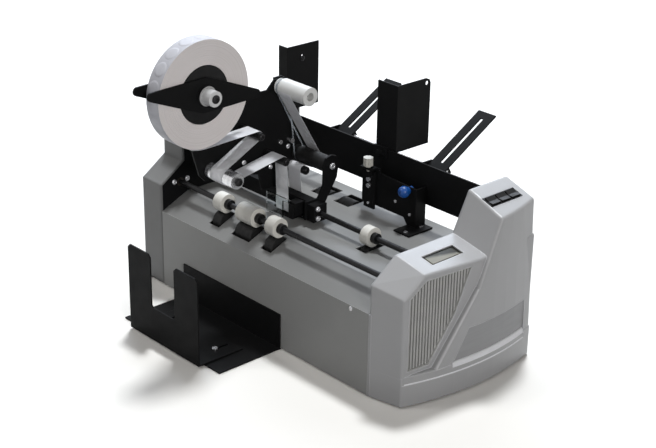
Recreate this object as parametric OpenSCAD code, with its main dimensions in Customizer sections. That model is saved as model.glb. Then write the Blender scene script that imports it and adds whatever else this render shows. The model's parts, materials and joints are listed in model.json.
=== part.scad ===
// Tabletop tabbing machine: folded mail leaves the hopper at the back, passes under the tab head
// and the exit rollers, and drops into the tray at the front. Units are millimetres.
// X runs along the machine to the right, the front faces -Y, Z is up from the table.

/* [Body] */
// length of the front panel between the two end housings
body_len = 548; // [530:2:580]
// thickness of the left end housing
left_w = 56; // [48:1:66]
// reach of the bowed right end past the panel seam
cap_w = 94; // [90:1:98]
// height of the deck above the table
deck_z = 176; // [174:1:178]
// depth of the deck from the front panel face
deck_depth = 301; // [298:1:310]
// depth of the end housings
side_depth = 336; // [330:1:345]
// height of the upright part of the front panel
panel_z = 150; // [142:1:154]
// depth of the sloped part of the front panel
bevel_y = 59; // [57:1:64]
// thickness of the sheet metal covers
sheet = 2; // [1.6:0.1:2.4]
// thickness of the black side plates
plate_t = 3; // [2.5:0.1:4]
// height of the rubber feet
foot_h = 6; // [5:0.5:8]

/* [Left housing] */
// height at which the front face starts to lean back
left_shoulder_z = 200; // [190:1:206]
// depth of the leaning part
left_lean_y = 51; // [44:1:56]
// height of the top of the leaning part
left_lean_z = 236; // [230:1:244]
// height of the top of the housing
left_top_z = 304; // [300:1:312]

/* [Right cap] */
// depth of the moulded right cap
cap_depth = 312; // [308:1:318]
// height of the ledge under the ribbed grille
ledge_z = 57; // [54:1:60]
// slope of the flat face that carries the grille
face_slope = 0.1; // [0.08:0.01:0.12]
// height of the shoulder at the seam side
cap_shoulder_z = 241; // [236:1:246]
// height of the control tower at its inner edge
tower_z = 310; // [304:1:316]
// fall of the tower top towards the outer end, as a ratio
tower_fall = 0.33; // [0.3:0.01:0.36]
// fall of the shoulder towards the outer end, as a ratio
shoulder_fall = 0.2; // [0.17:0.01:0.22]
// wall thickness of the moulding
cap_wall = 3; // [2.5:0.1:3.4]
// number of ribs in the grille
rib_count = 20; // [16:1:22]

/* [Feed] */
// radius of the feed shafts
shaft_r = 5; // [4.5:0.1:5.5]
// radial running clearance of shafts in bushings
run_fit = 0.05; // [0.03:0.01:0.08]
// radius of the white pinch rollers
pinch_r = 17.5; // [17:0.1:17.8]
// radius of the black drive rollers under the deck
drive_r = 18; // [17.5:0.1:18.3]
// height of the pinch shafts
pinch_z = 197; // [196.7:0.1:199]
// distance between pinch shaft and drive shaft
pinch_gap = 36; // [35.8:0.1:36.5]
// depth position of the exit shafts
exit_y = 44; // [42:0.5:46]
// depth position of the infeed shafts
infeed_y = 140; // [138.5:0.5:141]
// depth position of the hopper feed shaft
feed_y = 254; // [252:0.5:256]

/* [Tab head] */
// position of the middle of the tab web
web_x = -347; // [-350:1:-344]
// width of the tab web
web_w = 33; // [31:0.5:34]
// thickness of the web
web_t = 0.6; // [0.5:0.05:0.8]
// outside diameter of the tab roll
roll_d = 188; // [180:1:194]
// diameter of the roll's core
core_d = 99; // [94:1:104]
// radius of the guide posts
post_r = 7.5; // [7:0.1:8]
// radius of the silver dancer roller
dancer_r = 14; // [13:0.2:15]
// radius of the web drive roller
web_drive_r = 15; // [14:0.2:15.5]
// outside radius of the take-up spool
spool_r = 16.5; // [16:0.1:17.5]
// bore radius of the take-up spool
spool_bore = 7.5; // [7:0.1:8]
// radius of the round drive belt
cord_r = 1.3; // [1.1:0.05:1.5]
// gap left between the web and each turning roller
web_gap = 0.4; // [0.35:0.01:0.5]

/* [Hopper] */
// depth position of the rear wall face
wall_y = 277; // [275:0.5:279]
// height of the top of the rear wall
wall_top = 290; // [286:1:294]
// height of the bottom of the rear wall
wall_bottom = 217; // [214:1:220]
// thickness of the rear wall
wall_t = 3; // [2.6:0.1:3.4]
// height of the hopper guides
guide_top = 412; // [400:1:430]
// thickness of the guide sheet
guide_t = 2.5; // [2.2:0.1:3]
// sliding clearance of saddles on the wall
slide_fit = 0.4; // [0.35:0.01:0.5]
// length of the slotted stack supports
ramp_len = 160; // [150:1:170]
// width of the slotted stack supports
ramp_w = 42; // [38:1:44]
// tilt of the slotted stack supports
ramp_tilt = 30; // [26:1:34]

/* [Catch tray] */
// depth position of the tray's front plate
tray_front_y = 147; // [140:1:156]
// height of the posts of the front plate
tray_post_z = 165; // [155:1:175]
// height of the tray's back plate
tray_back_z = 67; // [60:1:74]
// thickness of the tray sheet
tray_t = 2.5; // [2:0.1:3]

/* [Hidden] */
$fn = 48;
eps = 0.02;
xl = -body_len;
x_left = xl - left_w;
ramp_y = 364;
ramp_z = 245;
roll_y = -65;
roll_z = 445;
mid_x = (cap_w + x_left) / 2;
arm_tilt = 10.3;
arm_reach = 110;
arm_tip = 7.5;
y_front = roll_y - arm_reach * cos(arm_tilt) - arm_tip;
y_back = ramp_y + (ramp_len - 14) * cos(ramp_tilt) - 5 * sin(ramp_tilt);
mid_y = (y_front + y_back) / 2;
drive_z = pinch_z - pinch_gap;
bush_r = shaft_r + run_fit;
rib_depth = 8;
web_x0 = web_x - web_w / 2;
web_x1 = web_x + web_w / 2;
head_x = web_x - 33;
post1 = [51, 346];
dancer = [-17, 287];
post3 = [107, 286];
peel_f = [122, 186.5];
peel_b = [150, 186.5];
post4 = [154, 258];
wdrive = [180, 272];
spool = [139, 405];
peel_r = 2;
roll_r = roll_d / 2;
body_grey = [0.74, 0.74, 0.73];
black = [0.07, 0.07, 0.08];
steel = [0.75, 0.75, 0.77];
white = [0.93, 0.93, 0.91];

module at_frame() {
    translate([-mid_x, -mid_y, 0])
        children();
}

module box(x0, x1, y0, y1, z0, z1) {
    translate([x0, y0, z0])
        cube([x1 - x0, y1 - y0, z1 - z0]);
}

module xcyl(x0, x1, y, z, r) {
    translate([x0, y, z])
        rotate([0, 90, 0])
            cylinder(h = x1 - x0, r = r);
}

module ycyl(y0, y1, x, z, r) {
    translate([x, y1, z])
        rotate([90, 0, 0])
            cylinder(h = y1 - y0, r = r);
}

module zcyl(z0, z1, x, y, r) {
    translate([x, y, z0])
        cylinder(h = z1 - z0, r = r);
}

// plate across X whose outline is drawn in Y and Z
module yz(x0, x1) {
    translate([x0, 0, 0])
        rotate([90, 0, 90])
            linear_extrude(height = x1 - x0)
                children();
}

// plate across Y whose outline is drawn in X and Z
module xz(y0, y1) {
    translate([0, y1, 0])
        rotate([90, 0, 0])
            linear_extrude(height = y1 - y0)
                children();
}

module xtube(x0, x1, y, z, r, bore) {
    difference() {
        xcyl(x0, x1, y, z, r);
        xcyl(x0 - 1, x1 + 1, y, z, bore);
    }
}

lower_shafts = [exit_y, infeed_y, feed_y];
r_plate_x = 6;

module base_pan() {
    color([0.45, 0.46, 0.47]) at_frame() {
        difference() {
            union() {
                box(x_left + 8, -3, sheet + 1.4, deck_depth - sheet, foot_h, foot_h + sheet);
                box(-3.5, 46, 26, deck_depth - sheet, foot_h, foot_h + sheet);
            }
            for (x = [x_left + 28, xl / 2, 22])
                for (y = [44, 268])
                    zcyl(foot_h - 1, foot_h + sheet + 1, x, y, 3);
        }
    }
}

module rubber_feet() {
    color([0.05, 0.05, 0.05]) at_frame() {
        for (x = [x_left + 28, xl / 2, 22])
            for (y = [44, 268]) {
                zcyl(0, foot_h, x, y, 11);
                zcyl(foot_h - eps, foot_h + sheet + 0.5, x, y, 3);
            }
    }
}

module front_panel() {
    color(body_grey) at_frame() {
        difference() {
            union() {
                yz(xl + 1.2, -0.3)
                    polygon([[0, foot_h - 3], [0, panel_z], [bevel_y, deck_z],
                        [bevel_y, deck_z - sheet],
                        [sheet, panel_z - sheet * 0.55], [sheet, foot_h - 3]]);
                box(xl + 12, -12, sheet - eps, 20, foot_h + sheet, foot_h + 2 * sheet);
            }
            for (r = exit_rollers)
                box(r[0] - 3, r[1] + 3, exit_y - 24, exit_y + 14, panel_z, deck_z + 2);
            ycyl(-1, sheet + 1, -41, 145, 2.05);
        }
    }
}

module deck() {
    color([0.78, 0.78, 0.77]) at_frame() {
        difference() {
            box(xl, -0.6, bevel_y, deck_depth, deck_z - sheet, deck_z);
            for (r = infeed_rollers)
                box(r[0] - 3, r[1] + 3, infeed_y - 23, infeed_y + 23, deck_z - sheet - 1, deck_z + 1);
            for (r = feed_rollers)
                box(r[0] - 3, r[1] + 3, feed_y - 23, feed_y + 23, deck_z - sheet - 1, deck_z + 1);
        }
    }
}

module rear_panel() {
    color(body_grey) at_frame()
        box(xl + 1, -0.6, deck_depth - sheet, deck_depth, foot_h - 3, deck_z - sheet);
}

module left_outline(d) {
    polygon([[d, foot_h - 3 + d], [d, left_shoulder_z - d * 0.35],
        [left_lean_y + d, left_lean_z - d * 0.35],
        [left_lean_y + d, left_top_z - 14 - d * 0.4], [left_lean_y + 4 + d * 0.8, left_top_z - 4 - d * 0.8],
        [left_lean_y + 14 + d * 0.4, left_top_z - d], [side_depth - 14 - d * 0.4, left_top_z - d],
        [side_depth - 4 - d * 0.8, left_top_z - 4 - d * 0.8], [side_depth - d, left_top_z - 14 - d * 0.4],
        [side_depth - d, foot_h - 3 + d]]);
}

module left_housing() {
    color(body_grey) at_frame() {
        difference() {
            yz(x_left, xl)
                left_outline(0);
            yz(x_left + 3, xl + 1)
                left_outline(3);
            box(x_left + 6, xl + 1, 6, side_depth - 6, 0, foot_h + 1);
        }
    }
}

module left_plate() {
    color(black) at_frame() {
        difference() {
            yz(xl - plate_t, xl)
                left_outline(3.3);
            for (y = lower_shafts)
                xcyl(xl - plate_t - 1, xl + 1, y, drive_z, bush_r + 3);
            xcyl(xl - plate_t - 1, xl + 1, exit_y, pinch_z, bush_r + 3);
            xcyl(xl - plate_t - 1, xl + 1, motor_y, motor_z, 13);
            xcyl(xl - plate_t - 1, xl + 1, exit_y - 15, pinch_z + 3, 2.05);
            xcyl(xl - plate_t - 1, xl + 1, exit_y + 15, pinch_z + 3, 2.05);
            box(xl - plate_t - 1, xl + 1, 0, deck_depth + 2, 0, foot_h + sheet + 0.4);
        }
    }
}

module right_plate() {
    color(black) at_frame() {
        difference() {
            yz(r_plate_x, r_plate_x + plate_t)
                polygon([[28, foot_h + sheet], [28, 196], [58, 222], [150, 222], [150, 206], [296, 206],
                    [296, foot_h + sheet]]);
            for (y = lower_shafts)
                xcyl(r_plate_x - 1, r_plate_x + plate_t + 1, y, drive_z, bush_r + 3);
            for (y = [exit_y, infeed_y])
                xcyl(r_plate_x - 1, r_plate_x + plate_t + 1, y, pinch_z, bush_r + 3);
        }
    }
}

module bush(x0, x1, y, z, flange_x) {
    difference() {
        union() {
            xcyl(x0, x1, y, z, bush_r + 3);
            xcyl(flange_x, flange_x + 2.5, y, z, bush_r + 5.5);
        }
        xcyl(x0 - 4, x1 + 4, y, z, bush_r);
    }
}

module shaft_bushings() {
    color([0.62, 0.5, 0.3]) at_frame() {
        for (y = lower_shafts) {
            bush(xl - plate_t, xl, y, drive_z, xl - plate_t - 2.5);
            bush(r_plate_x, r_plate_x + plate_t, y, drive_z, r_plate_x + plate_t);
        }
        bush(xl - plate_t, xl, exit_y, pinch_z, xl - plate_t - 2.5);
        bush(r_plate_x, r_plate_x + plate_t, exit_y, pinch_z, r_plate_x + plate_t);
        bush(r_plate_x, r_plate_x + plate_t, infeed_y, pinch_z, r_plate_x + plate_t);
    }
}

// bowed outline of the right cap seen from above, moved out by d, and the flat face behind it
bow_y = 182;
bow_k = 0.00104;
draft = 0.037;
function bow_x(y) = cap_w - bow_k * (y - bow_y) * (y - bow_y);
band_step = 1;
function out_x(y, z) = bow_x(y) - band_step - draft * (z - 41);
function face_x(y) = bow_x(14) + face_slope * (y - 14);
bow_ys = [17, 50, 80, 110, 140, 170, 200, 230, 260, 286];

module bow_block(d, z0, z1) {
    translate([0, 0, z0])
        linear_extrude(height = z1 - z0)
            polygon(concat([[-30, -40], [bow_x(17) + d, -40]], [for (y = bow_ys) [bow_x(y) + d, y]],
                [[bow_x(cap_depth - 5) + d, 400], [-30, 400]]));
}

module face_block(d, z0, z1) {
    translate([0, 0, z0])
        linear_extrude(height = z1 - z0)
            polygon([[-30, -40], [face_x(-40) + d, -40], [face_x(400) + d, 400], [-30, 400]]);
}

function sh_z(x) = cap_shoulder_z - shoulder_fall * x;
function tw_z(x) = tower_z - tower_fall * x;

module ball_hull(r, points) {
    hull()
        for (p = points)
            translate(p)
                sphere(r = r, $fn = 16);
}

// the three rounded bodies that make the cap; q is the edge radius and r the radius of the balls
module base_hull(r) {
    q = 5;
    foot = concat([[q, q], [q, cap_depth - q]], [for (y = bow_ys) [bow_x(y) - q, y]],
        [[bow_x(cap_depth - q) - q, cap_depth - q]]);
    ball_hull(r, [for (z = [-12, ledge_z - q], p = foot) [p[0], p[1], z]]);
}

module shoulder_hull(r) {
    q = 5;
    back_x = face_x(172) - 12;
    ball_hull(r, concat(
        [for (p = [[q, q], [q, cap_depth - q], [face_x(17) - q, 17], [face_x(172) - q, 172],
            [back_x, cap_depth - q]]) [p[0], p[1], -12]],
        [[q, q, left_shoulder_z], [face_x(17) - q, 17, left_shoulder_z - 9], [q, 54, sh_z(q) - q],
            [q, cap_depth - q, sh_z(q) - q], [back_x, cap_depth - q, sh_z(back_x) - q]],
        [for (y = [56, 172]) [face_x(y) - q, y, sh_z(face_x(y)) - q]]));
}

// the tower's foot, whose sloping front edge ends in the ridge beside the grille
module flank_hull(r) {
    q = 6;
    ys = [90, 125, 165, 200, 230, 260, 286, cap_depth - q];
    ball_hull(r, concat([for (y = ys) [out_x(y, 41) - q, y, 20]],
        [for (y = ys) if (y > 160) [out_x(y, 172) - q, y, 172]],
        [[out_x(81, 55) - q, 75 + q, 55], [36, 75 + q, 55], [36, 158 + q, 172], [36, cap_depth - q, 20],
            [36, cap_depth - q, 172]]));
}

module tower_hull(r) {
    q = 6;
    ys = [165, 200, 230, 260, 286, cap_depth - q];
    ball_hull(r, concat([for (y = ys) [out_x(y, 168) - q, y, 168]],
        [for (y = [212 + q, 245, 275, cap_depth - q])
            [out_x(y, 280) - q, y, tw_z(out_x(y, 280) - q) - q]],
        [[q, 150 + q, 168], [q, 184 + q, 238], [q, cap_depth - q, 168], [q, 216 + q, tw_z(q) - q],
            [q, cap_depth - q, tw_z(q) - q]]));
}

module grille_outline(d) {
    polygon([[25 + d, 63 + d], [25 + d, 192 - d], [57 + d * 0.5, 216 - d], [152 - d, 216 - d],
        [121 - d, 140], [70 - d, 63 + d]]);
}

module name_outline(d) {
    polygon([[112 + d, 60 + d], [143 + d, 112 - d], [290 - d, 112 - d], [290 - d, 60 + d]]);
}

name_depth = 6.5;
name_ys = [108, 130, 155, 180, 205, 230, 260, 290];
name_n = len(name_ys);

// sloping sill under the name recess
module name_sill() {
    polyhedron(points = [for (y = name_ys, p = [[-name_depth - 0.35, 60.1], [3, 60.1], [3, 43.6]])
            [bow_x(y) + p[0], y, p[1]]],
        faces = concat([[0, 1, 2], [3 * name_n - 1, 3 * name_n - 2, 3 * name_n - 3]],
            [for (i = [0 : name_n - 2], c = [0 : 2]) let (d = (c + 1) % 3)
                [3 * i + c, 3 * i + 3 + c, 3 * i + 3 + d]],
            [for (i = [0 : name_n - 2], c = [0 : 2]) let (d = (c + 1) % 3)
                [3 * i + c, 3 * i + 3 + d, 3 * i + d]]));
}

module right_cap() {
    color(body_grey) at_frame() {
        difference() {
            union() {
                base_hull(5);
                shoulder_hull(5);
                flank_hull(6);
                tower_hull(6);
                box(0, 6, 0, 6, foot_h - 3, panel_z);
            }
            difference() {
                union() {
                    base_hull(5 - cap_wall);
                    shoulder_hull(5 - cap_wall);
                    flank_hull(6 - cap_wall);
                    tower_hull(6 - cap_wall);
                }
                difference() {
                    yz(20, 130)
                        name_outline(-4);
                    bow_block(-name_depth - 3, 30, 240);
                }
            }
            box(-60, 160, -40, 420, -40, foot_h - 3);
            difference() {
                yz(20, 130)
                    grille_outline(0);
                face_block(-12, 40, 240);
            }
            difference() {
                yz(20, 130)
                    name_outline(0);
                bow_block(-name_depth, 40, 240);
            }
            name_sill();
            difference() {
                translate([0, 0, 41])
                    linear_extrude(height = 22)
                        square(400);
                bow_block(-band_step, 30, 80);
            }
            for (y = [exit_y, infeed_y])
                xcyl(-8, cap_wall + 2, y, pinch_z, shaft_r + 3);
            box(-8, cap_wall + 2, 24, deck_depth + 4, foot_h - 2, deck_z - 6);
            box(-8, cap_wall + 2, wall_y - 3, wall_y + wall_t + 3, wall_bottom - 3, wall_top + 3);
            display_frame()
                box(-13, 13, -36, 36, -6, 10);
            switch_frame()
                box(-12, 12, -38, 38, -8, 12);
        }
    }
}

module display_frame() {
    translate([41, 121, sh_z(41)])
        rotate([0, atan(shoulder_fall), 0])
            children();
}

module switch_frame() {
    translate([43, 257, tw_z(43)])
        rotate([0, atan(tower_fall), 0])
            children();
}

// ribbed insert: a floor, a rim that fills the opening, and upright ribs
module vent_grille() {
    pitch = 124 / rib_count;
    color([0.68, 0.68, 0.67]) at_frame()
        difference() {
            intersection() {
                yz(20, 130)
                    grille_outline(0);
                face_block(-0.8, 55, 225);
                union() {
                    for (i = [0 : rib_count - 1])
                        box(20, 130, 27 + i * pitch, 27 + i * pitch + pitch * 0.55, 55, 225);
                    face_block(-rib_depth, 50, 225);
                    difference() {
                        box(20, 130, 0, 170, 50, 225);
                        yz(18, 132)
                            grille_outline(1.6);
                    }
                }
            }
            difference() {
                yz(18, 132)
                    grille_outline(1.6);
                face_block(-3.6, 50, 225);
            }
            face_block(-rib_depth - 2, 50, 225);
        }
}

module name_plate() {
    color([0.6, 0.61, 0.62]) at_frame() {
        intersection() {
            yz(20, 130)
                name_outline(0.4);
            difference() {
                bow_block(1.3 - name_depth, 50, 130);
                bow_block(-name_depth, 40, 140);
            }
        }
    }
}

module display_window() {
    color([0.42, 0.45, 0.36]) at_frame()
        display_frame() {
            box(-13, 13, -36, 36, -6, -4);
            box(-11, 9, -30, 30, -4 - eps, -2.6);
        }
}

switch_pitch = 24;

module switch_panel() {
    color(black) at_frame()
        switch_frame()
            difference() {
                box(-12, 12, -38, 38, -8, 0.6);
                for (i = [-1, 0, 1]) {
                    box(-10.2, 10.2, i * switch_pitch - 10.6, i * switch_pitch + 10.6, -5.5, 2);
                    ycyl(i * switch_pitch - 11.7, i * switch_pitch + 11.7, 0, -2, 1.2 + run_fit);
                }
            }
}

module rocker(i) {
    color([0.12, 0.12, 0.13]) at_frame()
        switch_frame()
            translate([0, i * switch_pitch, 0]) {
                xz(-10, 10)
                    polygon([[-8.2, -2.2], [-9, 3.4], [0, 1.2], [9, 3.4], [8.2, -2.2], [2.5, -4.6],
                        [-2.5, -4.6]]);
                ycyl(-11.4, 11.4, 0, -2, 1.2);
            }
}

module rocker_front() {
    rocker(-1);
}

module rocker_middle() {
    rocker(0);
}

module rocker_back() {
    rocker(1);
}

exit_rollers = [[web_x - 84, web_x - 62], [web_x - 21.5, web_x + 21.5], [web_x + 58, web_x + 80]];
infeed_rollers = [[-153, -135], [web_x - 25, web_x + 25]];
feed_rollers = [[-395, -361], [-333, -299]];
motor_y = 150;
motor_z = 72;
shaft_l = xl - plate_t - 5;
shaft_rt = r_plate_x + plate_t + 7;
pulley_x0 = xl - plate_t - 24;
pulley_x1 = xl - plate_t - 10;
pulley_r = 11;
motor_pulley_r = 10;
belt_gap = 0.4;

module exit_shaft() {
    color(black) at_frame() {
        xcyl(shaft_l, shaft_rt, exit_y, pinch_z, shaft_r);
        for (r = exit_rollers)
            xcyl(r[1], r[1] + 9, exit_y, pinch_z, 9.5);
    }
}

module exit_rollers_white() {
    color(white) at_frame()
        for (r = exit_rollers)
            xtube(r[0], r[1], exit_y, pinch_z, pinch_r, shaft_r);
}

module infeed_shaft() {
    color(black) at_frame() {
        xcyl(end_x - 1, shaft_rt, infeed_y, pinch_z, shaft_r);
        xcyl(infeed_rollers[0][1], infeed_rollers[0][1] + 9, infeed_y, pinch_z, 9.5);
    }
}

module infeed_roller() {
    color(white) at_frame()
        xtube(infeed_rollers[0][0], infeed_rollers[0][1], infeed_y, pinch_z, pinch_r, shaft_r);
}

// shaft under the deck with its rubber rollers and belt pulley
module drive_roller(y, rollers) {
    color([0.13, 0.13, 0.13]) at_frame() {
        xcyl(xl - plate_t - 26, shaft_rt, y, drive_z, shaft_r);
        xcyl(pulley_x0, pulley_x1, y, drive_z, pulley_r);
        for (r = rollers)
            xcyl(r[0], r[1], y, drive_z, drive_r);
    }
}

module exit_drive_roller() {
    drive_roller(exit_y, exit_rollers);
}

module infeed_drive_roller() {
    drive_roller(infeed_y, infeed_rollers);
}

module feed_drive_roller() {
    drive_roller(feed_y, feed_rollers);
}

module feed_motor() {
    color([0.2, 0.2, 0.22]) at_frame()
        difference() {
            union() {
                xcyl(xl, xl + 74, motor_y, motor_z, 34);
                box(xl, xl + 74, motor_y - 26, motor_y + 26, foot_h + sheet, motor_z);
            }
            xcyl(xl - 1, xl + 60, motor_y, motor_z, 4 + run_fit);
        }
}

module motor_pulley() {
    color(steel) at_frame() {
        xcyl(pulley_x0, xl + 50, motor_y, motor_z, 4);
        xcyl(pulley_x0, pulley_x1, motor_y, motor_z, motor_pulley_r);
    }
}

module belt_loop(d) {
    hull() {
        translate([exit_y, drive_z]) circle(r = pulley_r + d);
        translate([feed_y, drive_z]) circle(r = pulley_r + d);
        translate([motor_y, motor_z]) circle(r = motor_pulley_r + d);
    }
}

module feed_belt() {
    color([0.1, 0.1, 0.1]) at_frame()
        yz(pulley_x0 + 2, pulley_x1 - 2)
            difference() {
                belt_loop(belt_gap + 2);
                belt_loop(belt_gap);
            }
}

module power_board() {
    color([0.1, 0.35, 0.2]) at_frame() {
        box(-300, -140, 60, 200, foot_h + sheet + 8, foot_h + sheet + 10);
        for (x = [-292, -148])
            for (y = [68, 192])
                zcyl(foot_h + sheet, foot_h + sheet + 8.5, x, y, 4);
        box(-270, -210, 90, 150, foot_h + sheet + 10 - eps, foot_h + sheet + 42);
        zcyl(foot_h + sheet + 10 - eps, foot_h + sheet + 40, -175, 100, 14);
        zcyl(foot_h + sheet + 10 - eps, foot_h + sheet + 40, -175, 145, 14);
    }
}

// tab head
end_x = web_x + 57;
block_x = end_x + 21;
beam_y0 = 126;
beam_y1 = 146;
beam_z0 = 190;
beam_z1 = 218;

module cross_beam() {
    color(black) at_frame()
        difference() {
            box(xl, end_x - 1, beam_y0, beam_y1, beam_z0, beam_z1);
            box(xl - 1, end_x - 8, beam_y0 + 3, beam_y1 + 1, beam_z0 + 3, beam_z1 - 3);
            xcyl(end_x - 9, end_x, infeed_y, pinch_z, shaft_r + 2);
        }
}

module peel_bar() {
    color(black) at_frame() {
        for (p = [peel_f, peel_b])
            xcyl(web_x0 - 6, end_x - 1, p[0], p[1], peel_r);
        box(web_x0 - 6, end_x - 1, peel_f[0], peel_b[0], peel_f[1] - peel_r, peel_f[1] + peel_r);
        box(web_x0 - 6, end_x - 1, beam_y0 + 2, beam_y1 - 2, peel_f[1], beam_z0);
    }
}

module head_plate() {
    color(black) at_frame()
        difference() {
            yz(head_x - 4, head_x)
                polygon([[98, beam_z1], [146, beam_z1], [150, 240], [196, 246],
                    [202, 290], [160, 404], [152, 418],
                    [128, 418], [112, 402], [40, 404], [-46, 470], [-72, 472], [-90, 452], [-84, 424],
                    [-40, 280], [-28, 268], [40, 262], [92, 250]]);
            xcyl(head_x - 6, head_x + 1, roll_y, roll_z, 6);
            for (p = [post1, post3, post4])
                xcyl(head_x - 6, head_x + 1, p[0], p[1], 3);
            xcyl(head_x - 6, head_x + 1, dancer[0], dancer[1], 4);
            xcyl(head_x - 6, head_x + 1, wdrive[0], wdrive[1], 4 + run_fit);
            xcyl(head_x - 6, head_x + 1, spool[0], spool[1], 4);
        }
}

module end_plate() {
    color(black) at_frame()
        difference() {
            union() {
                box(end_x + 3 - eps, block_x, 124, 154, 183, 214);
                yz(end_x - 1, end_x + 3)
                    polygon([[120, 184], [120, beam_z1], [150, beam_z1], [162, 240], [162, 276], [168, 288],
                        [180, 292], [192, 288], [198, 276], [194, 248], [168, 208], [160, 184]]);
            }
            xcyl(end_x - 3, block_x + 2, infeed_y, pinch_z, bush_r);
            xcyl(end_x - 3, end_x + 5, wdrive[0], wdrive[1], 4 + run_fit);
        }
}

module guide_posts() {
    color([0.2, 0.2, 0.21]) at_frame()
        for (p = [post1, post3, post4]) {
            xcyl(head_x, web_x1 + 7, p[0], p[1], post_r);
            xcyl(head_x - 5, head_x + eps, p[0], p[1], 3);
            xcyl(web_x1 + 7 - eps, web_x1 + 9, p[0], p[1], 2.6);
        }
}

module dancer_roller() {
    color([0.85, 0.85, 0.87]) at_frame()
        xtube(head_x + 2, web_x1 + 24, dancer[0], dancer[1], dancer_r, 4 + run_fit);
}

module web_drive_roller() {
    color([0.12, 0.12, 0.13]) at_frame() {
        xcyl(cord_x + 5.5 - eps, end_x - 2, wdrive[0], wdrive[1], web_drive_r);
        xcyl(head_x - 5, end_x + 4, wdrive[0], wdrive[1], 4);
        cord_pulley(wdrive);
    }
}

cord_x = head_x + 8;
cord_pr = 13;
cord_side = 1.6;

// grooved wheel for the round belt
module cord_pulley(p) {
    floor_r = cord_pr - cord_r - 0.4;
    translate([cord_x - 5.5, p[0], p[1]])
        rotate([0, 90, 0])
            rotate_extrude()
                polygon([[0, 0], [cord_pr + 1.2, 0], [cord_pr + 1.2, 1.4], [floor_r, 1.8],
                    [floor_r, 9.2],
                    [cord_pr + 1.2, 9.6], [cord_pr + 1.2, 11], [0, 11]]);
}

module take_up_spool() {
    color(white) at_frame()
        difference() {
            union() {
                xcyl(cord_x + 5.5 - eps, web_x1 + 32, spool[0], spool[1], spool_r);
                cord_pulley(spool);
            }
            xcyl(head_x - 1, web_x1 + 20, spool[0], spool[1], 4 + run_fit);
            xcyl(web_x1 + 19, web_x1 + 40, spool[0], spool[1], spool_bore);
        }
}

belt_a = atan2(wdrive[1] - spool[1], wdrive[0] - spool[0]);
belt_l = sqrt(pow(wdrive[1] - spool[1], 2) + pow(wdrive[0] - spool[0], 2));

cross_a = asin(2 * cord_pr / belt_l);
lean_a = asin(cord_side / (cord_pr * cos(cross_a)));
run_l = belt_l * cos(cross_a);

// round clear belt, crossed once so that the spool turns against the drive roller;
// its two runs pass side by side
module take_up_belt() {
    color([0.8, 0.85, 0.9]) at_frame()
        translate([cord_x, spool[0], spool[1]])
            rotate([belt_a, 0, 0]) {
                for (s = [-1, 1])
                    translate([s * cord_side, cord_pr * sin(cross_a), s * cord_pr * cos(cross_a)])
                        rotate([-s * cross_a, 0, 0])
                            rotate([-90, 0, 0])
                                cylinder(h = run_l, r = cord_r, $fn = 24);
                for (e = [0, 1])
                    translate([0, e * belt_l, 0])
                        rotate([0, (e == 0 ? 1 : -1) * lean_a, 0])
                            rotate([0, 90, 0])
                                rotate([0, 0, (e == 0 ? 180 : 0) - cross_a])
                                    rotate_extrude(angle = 180 + 2 * cross_a)
                                        translate([cord_pr, 0])
                                            circle(r = cord_r, $fn = 24);
            }
}
echo(take_up_belt_least_gap = min(2 * (cord_side - cord_r), 0.4));

module take_up_arm() {
    color(black) at_frame()
        difference() {
            yz(head_x - 8, head_x - 4)
                polygon([[130, 420], [150, 420], [196, 276], [192, 262], [176, 258], [166, 268]]);
            xcyl(head_x - 9, head_x, spool[0], spool[1], 4.5);
            xcyl(head_x - 9, head_x, wdrive[0], wdrive[1], 5);
        }
}

// fixed pins on the head that carry the roll, the dancer and the spool
module head_pins() {
    color([0.1, 0.1, 0.11]) at_frame() {
        xcyl(head_x - 8, web_x1 + 27, roll_y, roll_z, 6);
        xcyl(head_x - 12, head_x - 4, roll_y, roll_z, 12);
        xcyl(head_x - 5, web_x1 + 26, dancer[0], dancer[1], 4);
        xcyl(web_x1 + 24.4, web_x1 + 29, dancer[0], dancer[1], 7);
        xcyl(head_x - 9, web_x1 + 19.5, spool[0], spool[1], 4);
    }
}

// tab roll on its spindle

module roll_core() {
    color(black) at_frame()
        difference() {
            union() {
                xcyl(web_x0 - 1, web_x1, roll_y, roll_z, core_d / 2);
                xcyl(head_x + 2, web_x0, roll_y, roll_z, 16);
            }
            xcyl(head_x - 2, web_x1 + 2, roll_y, roll_z, 6 + run_fit);
        }
}

module roll_arm_shape() {
    translate([roll_y, roll_z])
        rotate(-arm_tilt)
            difference() {
                hull() {
                    circle(r = 30);
                    for (s = [-1, 1])
                        translate([s * arm_reach, 0])
                            circle(r = arm_tip);
                }
                circle(r = 6 + run_fit);
            }
}

module roll_arms() {
    color(black) at_frame() {
        yz(web_x1, web_x1 + 3.5)
            roll_arm_shape();
        yz(web_x0 - 4.5, web_x0 - 1)
            difference() {
                roll_arm_shape();
                translate([roll_y, roll_z])
                    circle(r = 16);
            }
    }
}

module roll_knob() {
    color(white) at_frame()
        difference() {
            union() {
                xcyl(web_x1 + 3.5, web_x1 + 9, roll_y, roll_z, 17);
                xcyl(web_x1 + 9 - eps, web_x1 + 29, roll_y, roll_z, 13.5);
            }
            xcyl(web_x1 + 2, web_x1 + 31, roll_y, roll_z, 6 + run_fit);
        }
}

// the web's path: centre, radius of its inner face, and the way it turns round each piece
web_fit = 0.15;
web_path = [[[roll_y, roll_z], roll_r + web_gap, 1], [post1, post_r + web_fit, -1],
    [dancer, dancer_r + web_gap, 1],
    [post3, post_r + web_fit, -1], [peel_f, peel_r, 1], [peel_b, peel_r, 1], [post4, post_r + web_fit, -1],
    [wdrive, web_drive_r + web_gap, 1], [spool, spool_r + web_gap, -1]];
web_n = len(web_path);

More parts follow.
